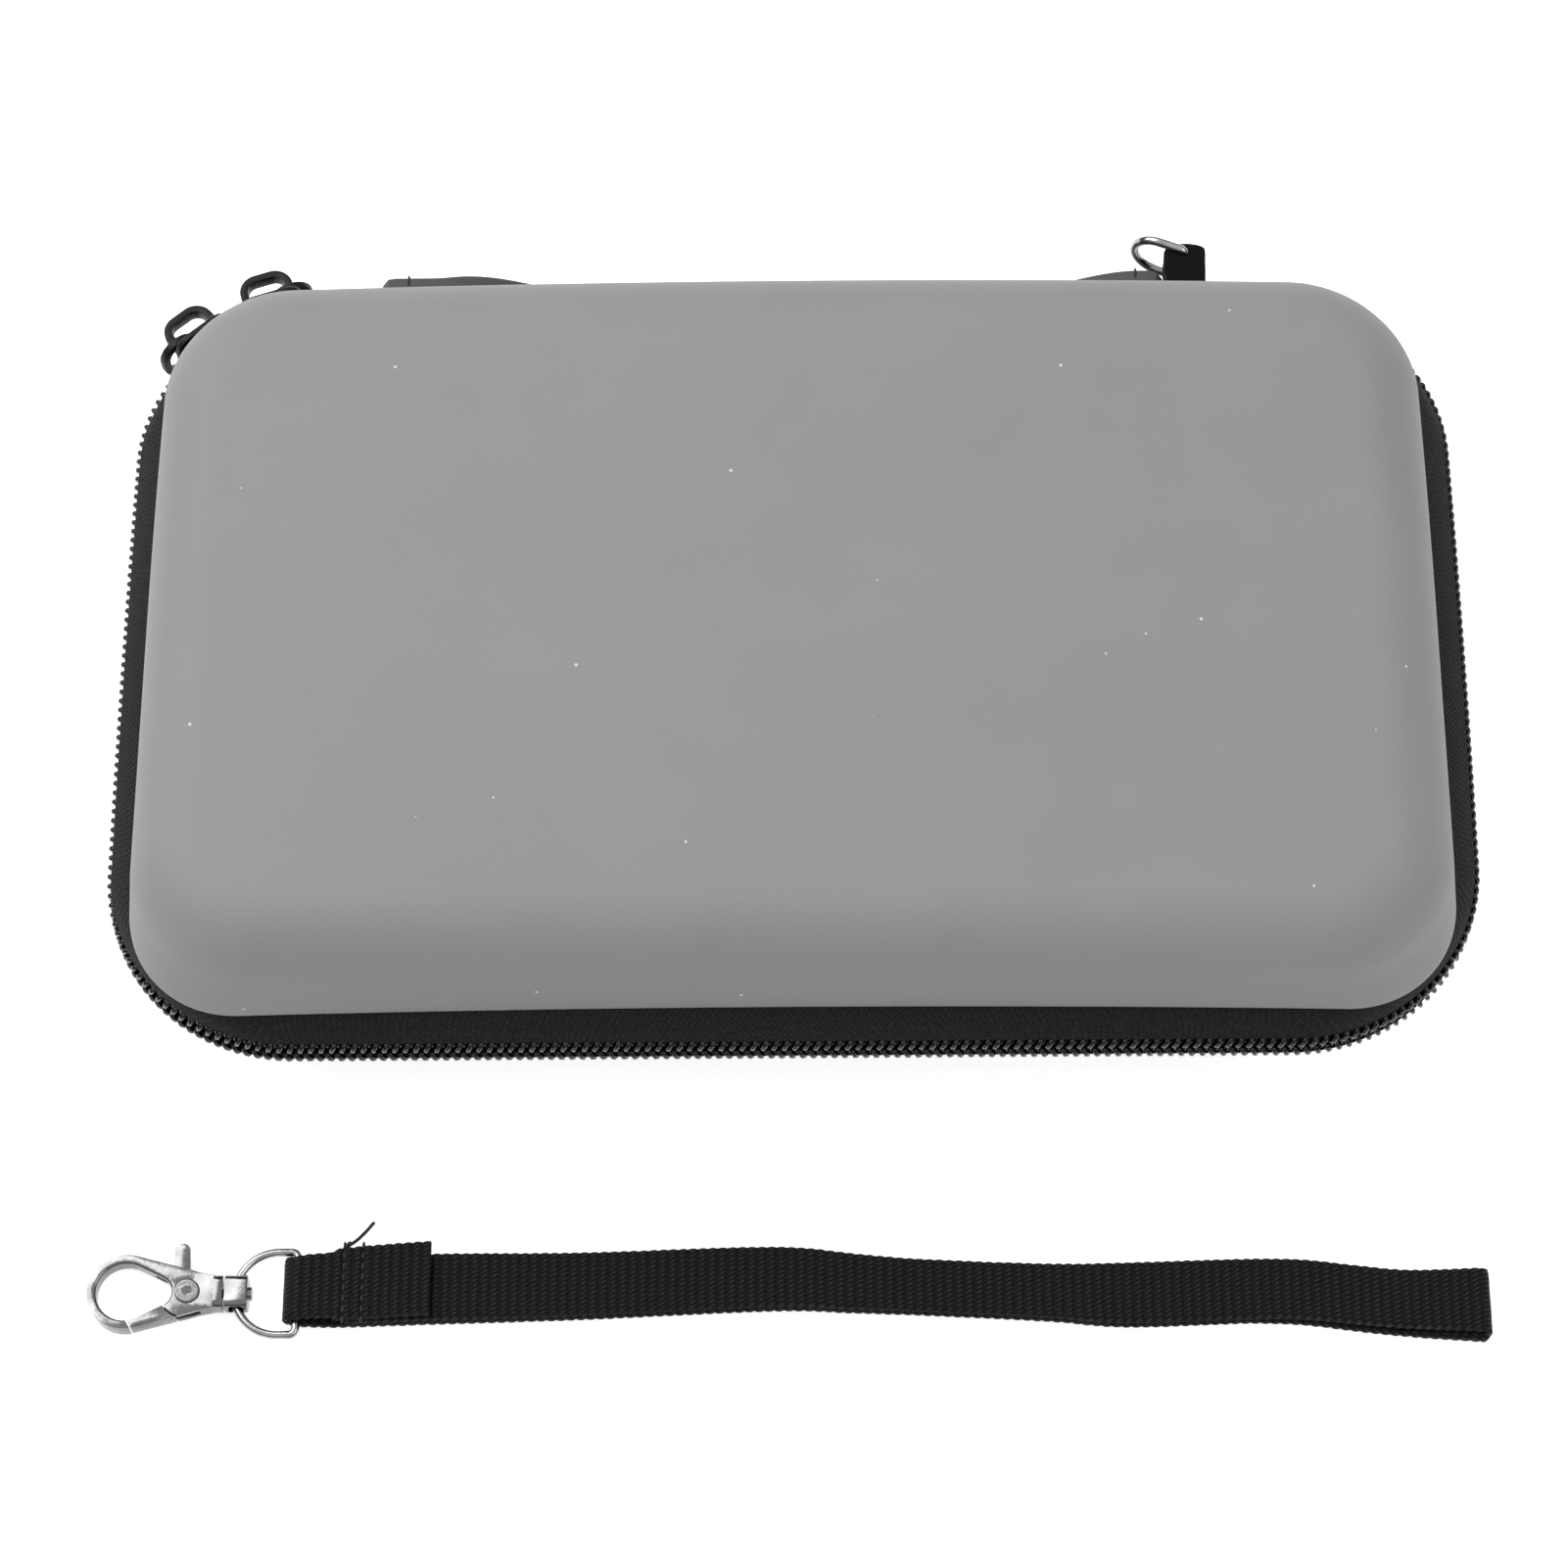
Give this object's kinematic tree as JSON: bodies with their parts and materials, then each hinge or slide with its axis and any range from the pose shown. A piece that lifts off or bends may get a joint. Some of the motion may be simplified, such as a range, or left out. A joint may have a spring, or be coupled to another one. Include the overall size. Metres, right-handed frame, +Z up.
{
  "type": "portable game console case",
  "caption": "Grey moulded clamshell case for a handheld console, with a zip round it, a back handle, a carrying ring and an unclipped wrist strap.",
  "frame": {"origin": "middle of the base's flat underside, on the table", "axes": "+X to the right, +Y to the hinge and handle at the back, +Z up"},
  "size_m": [0.1938, 0.1633, 0.044],
  "materials": {
    "shell_grey": "matte rubbery coating over moulded foam board",
    "tape_black": "woven zip tape",
    "coil_black": "nylon coil",
    "binding_black": "ribbon",
    "mesh_black": "open net",
    "elastic_black": "woven elastic",
    "spine_black": "plain woven fabric",
    "handle_grey": "matte coated strap",
    "webbing_black": "ribbed webbing",
    "metal_black": "black enamelled zinc",
    "ring_chrome": "polished plating",
    "clasp_chrome": "polished plating"
  },
  "bodies": {
    "base": {"bottom_shell": "shell_grey", "lower_zip_tape": "tape_black", "lower_zip_coil": "coil_black", "base_binding": "binding_black", "console_strap": "elastic_black", "spine": "spine_black", "handle": "handle_grey", "ring_tab": "webbing_black", "zip_slider_back": "metal_black", "wrist_strap": "webbing_black"},
    "lid": {"top_shell": "shell_grey", "upper_zip_tape": "tape_black", "upper_zip_coil": "coil_black", "lid_binding": "binding_black", "mesh_pocket": "mesh_black", "pocket_hem": "elastic_black"},
    "corner_slider": {"zip_slider_corner": "metal_black"},
    "corner_pull": {"zip_pull_corner": "metal_black"},
    "back_pull": {"zip_pull_back": "metal_black"},
    "carry_ring": {"case_ring": "ring_chrome"},
    "webbing_ring": {"strap_ring": "ring_chrome"},
    "swivel": {"clasp_swivel": "clasp_chrome"},
    "hook": {"clasp_hook": "clasp_chrome", "clasp_rivet": "clasp_chrome"},
    "lever": {"clasp_lever": "clasp_chrome"}
  },
  "joints": [
    {"name": "lid_hinge", "type": "hinge", "parent": "base", "child": "lid", "pos_m": [0, 0.0587, 0.025], "axis": [-1, 0, 0], "range_deg": [0, 100]},
    {"name": "slider_travel", "type": "hinge", "parent": "base", "child": "corner_slider", "pos_m": [-0.0675, 0.032, 0.022], "axis": [0, 0, 1], "range_deg": [0, 45]},
    {"name": "corner_pull_swing", "type": "hinge", "parent": "corner_slider", "child": "corner_pull", "pos_m": [-0.09049, 0.05322, 0.022], "axis": [-0.6566, 0.7542, 0], "range_deg": [-40, 40]},
    {"name": "back_pull_swing", "type": "hinge", "parent": "base", "child": "back_pull", "pos_m": [-0.07417, 0.06257, 0.022], "axis": [-0.318, 0.9481, 0], "range_deg": [-40, 40]},
    {"name": "case_ring_swing", "type": "hinge", "parent": "base", "child": "carry_ring", "pos_m": [0.0583, 0.0665, 0.0219], "axis": [0, 0, -1], "range_deg": [-15, 140]},
    {"name": "strap_ring_lift", "type": "hinge", "parent": "base", "child": "webbing_ring", "pos_m": [-0.0689, -0.0866, 0.00195], "axis": [0, 1, 0], "range_deg": [0, 110]},
    {"name": "swivel_lift", "type": "hinge", "parent": "webbing_ring", "child": "swivel", "pos_m": [-0.0774, -0.0866, 0.00195], "axis": [0, 1, 0], "range_deg": [0, 80]},
    {"name": "hook_spin", "type": "hinge", "parent": "swivel", "child": "hook", "pos_m": [-0.08035, -0.0866, 0.00195], "axis": [1, 0, 0], "continuous": true},
    {"name": "lever_press", "type": "hinge", "parent": "hook", "child": "lever", "pos_m": [-0.08395, -0.0866, 0.00195], "axis": [0, 0, -1], "range_deg": [0, 22], "stiffness_Nm_per_rad": 0.008, "springref_deg": -14.32}
  ]
}
